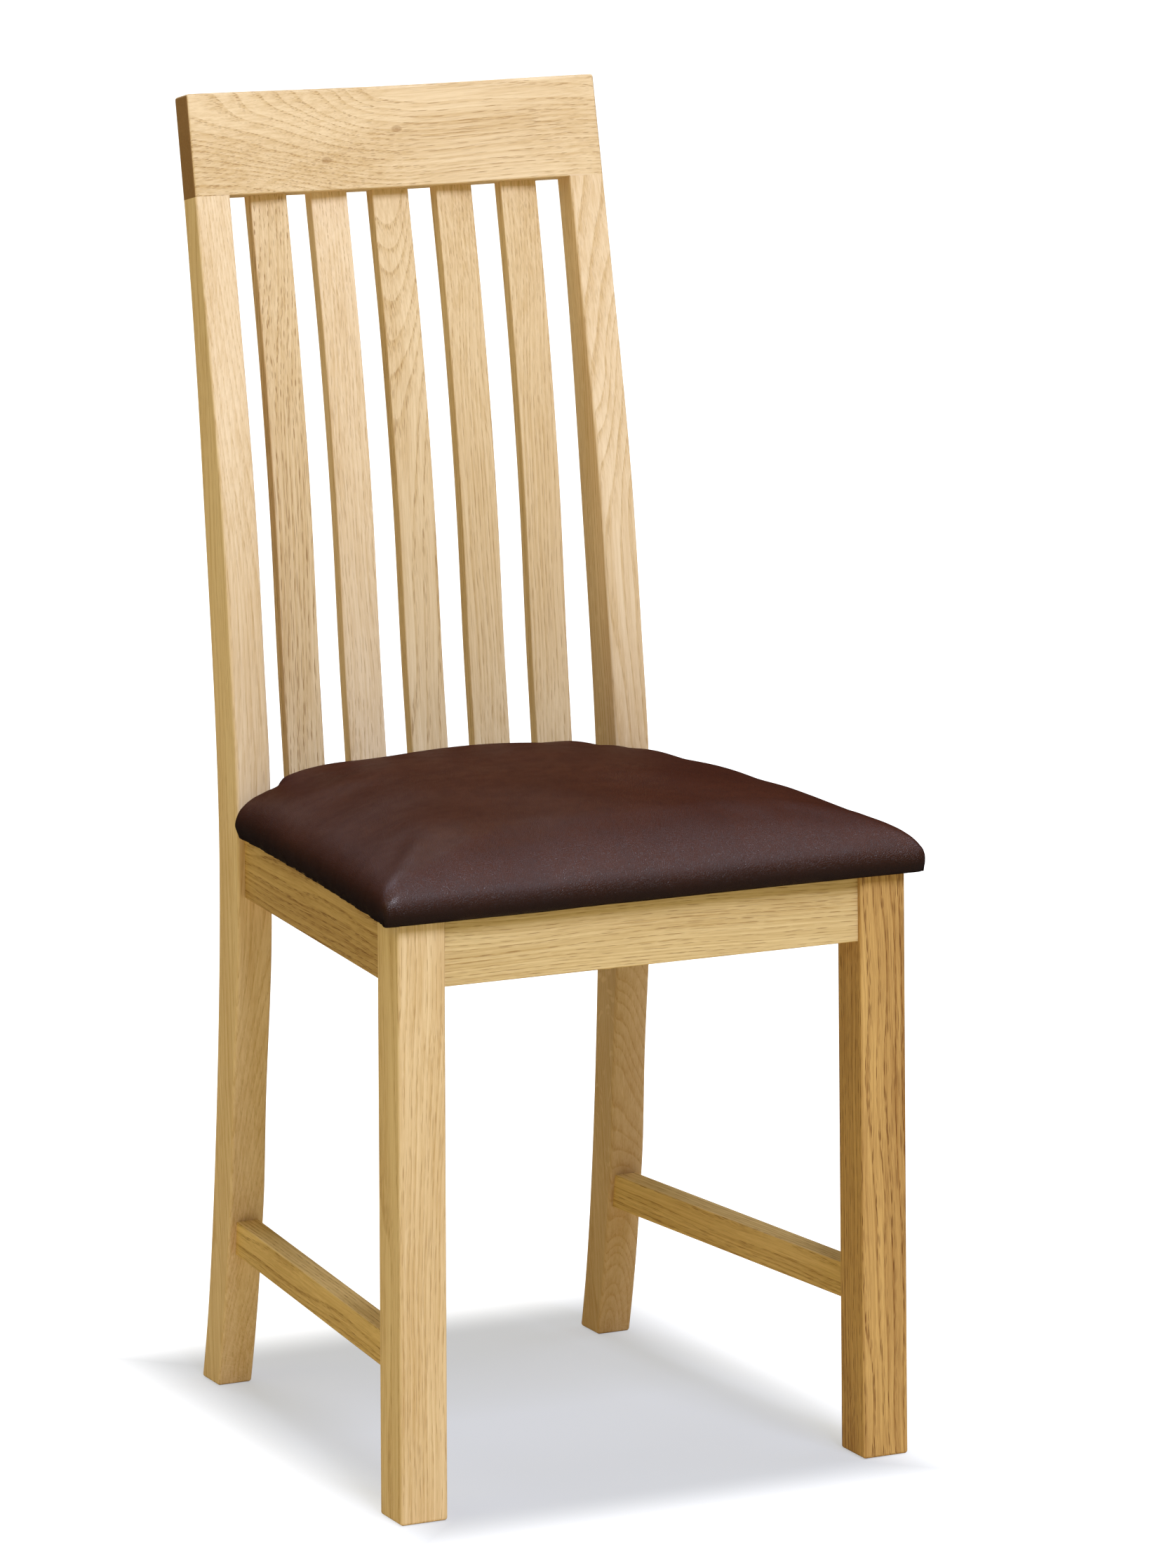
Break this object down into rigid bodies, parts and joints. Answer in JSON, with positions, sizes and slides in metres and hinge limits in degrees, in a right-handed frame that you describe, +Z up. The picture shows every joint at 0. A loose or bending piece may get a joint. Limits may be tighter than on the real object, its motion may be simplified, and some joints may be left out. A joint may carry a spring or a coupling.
{
  "type": "dining chair",
  "caption": "High-back dining chair: light oak frame with curved upright slats between sabre-curved posts, dished top rail, side stretchers and a crowned brown leather seat pad.",
  "frame": {"origin": "centre of the chair's footprint box, on the floor", "axes": "+Z up; the chair faces -Y; left, as seen from the front, is -X"},
  "size_m": [0.4654, 0.529, 1.0698],
  "materials": {
    "oak": "satin lacquer",
    "block_wood": "sawn, unfinished",
    "dowel_wood": "fluted beech, glued",
    "plywood": "sawn, unfinished",
    "leather": "fine pebble grain, soft sheen",
    "foam": "open-cell foam",
    "dust_cloth": "spun-bonded cloth",
    "screw_steel": "zinc plated"
  },
  "bodies": {
    "root": {"back_slat_1": "oak", "back_slat_2": "oak", "back_slat_3": "oak", "back_slat_4": "oak", "back_slat_5": "oak", "corner_block_front_left": "block_wood", "corner_block_front_right": "block_wood", "corner_block_rear_left": "block_wood", "corner_block_rear_right": "block_wood", "corner_block_screws": "screw_steel", "front_leg_left": "oak", "front_leg_right": "oak", "front_rail_dowels": "dowel_wood", "front_seat_rail": "oak", "rear_leg_left": "oak", "rear_leg_right": "oak", "rear_rail_dowels": "dowel_wood", "rear_seat_rail": "oak", "seat_board": "plywood", "seat_cover": "leather", "seat_dust_cover": "dust_cloth", "seat_fixing_screws": "screw_steel", "seat_foam": "foam", "seat_staples": "screw_steel", "side_rail_front_dowels": "dowel_wood", "side_rail_rear_dowels": "dowel_wood", "side_seat_rail_left": "oak", "side_seat_rail_right": "oak", "side_stretcher_left": "oak", "side_stretcher_right": "oak", "top_rail": "oak", "top_rail_dowels": "dowel_wood"}
  },
  "joints": []
}
